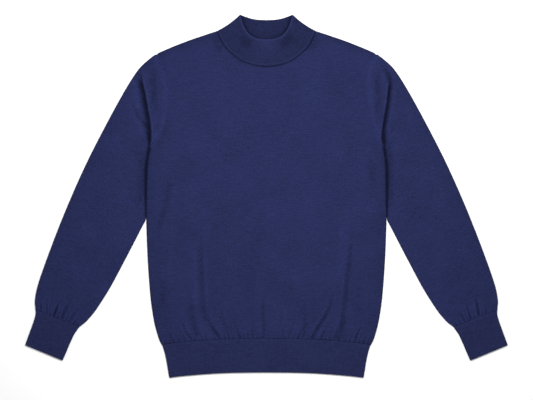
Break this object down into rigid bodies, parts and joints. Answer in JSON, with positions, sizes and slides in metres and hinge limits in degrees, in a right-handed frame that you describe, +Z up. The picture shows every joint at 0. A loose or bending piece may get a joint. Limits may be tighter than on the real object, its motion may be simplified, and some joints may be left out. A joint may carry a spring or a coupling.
{
  "type": "mock neck sweater",
  "caption": "Long-sleeved fine-knit pullover with a low stand collar, rib hem band and rib cuffs, laid out flat on its back.",
  "frame": {"origin": "middle of the garment's outline, on the surface that it lies on", "axes": "+Z up from the surface, +Y along the body towards the neck, +X towards the wearer's left sleeve"},
  "size_m": [0.9824, 0.7386, 0.0092],
  "materials": {
    "jersey": "matte fine smooth jersey knit",
    "rib": "matte fine close rib knit"
  },
  "bodies": {
    "root": {"front_panel": "jersey", "back_panel": "jersey", "sleeve_left": "jersey", "sleeve_right": "jersey", "hem_band": "rib", "cuff_left": "rib", "cuff_right": "rib", "mock_collar": "rib"}
  },
  "joints": []
}
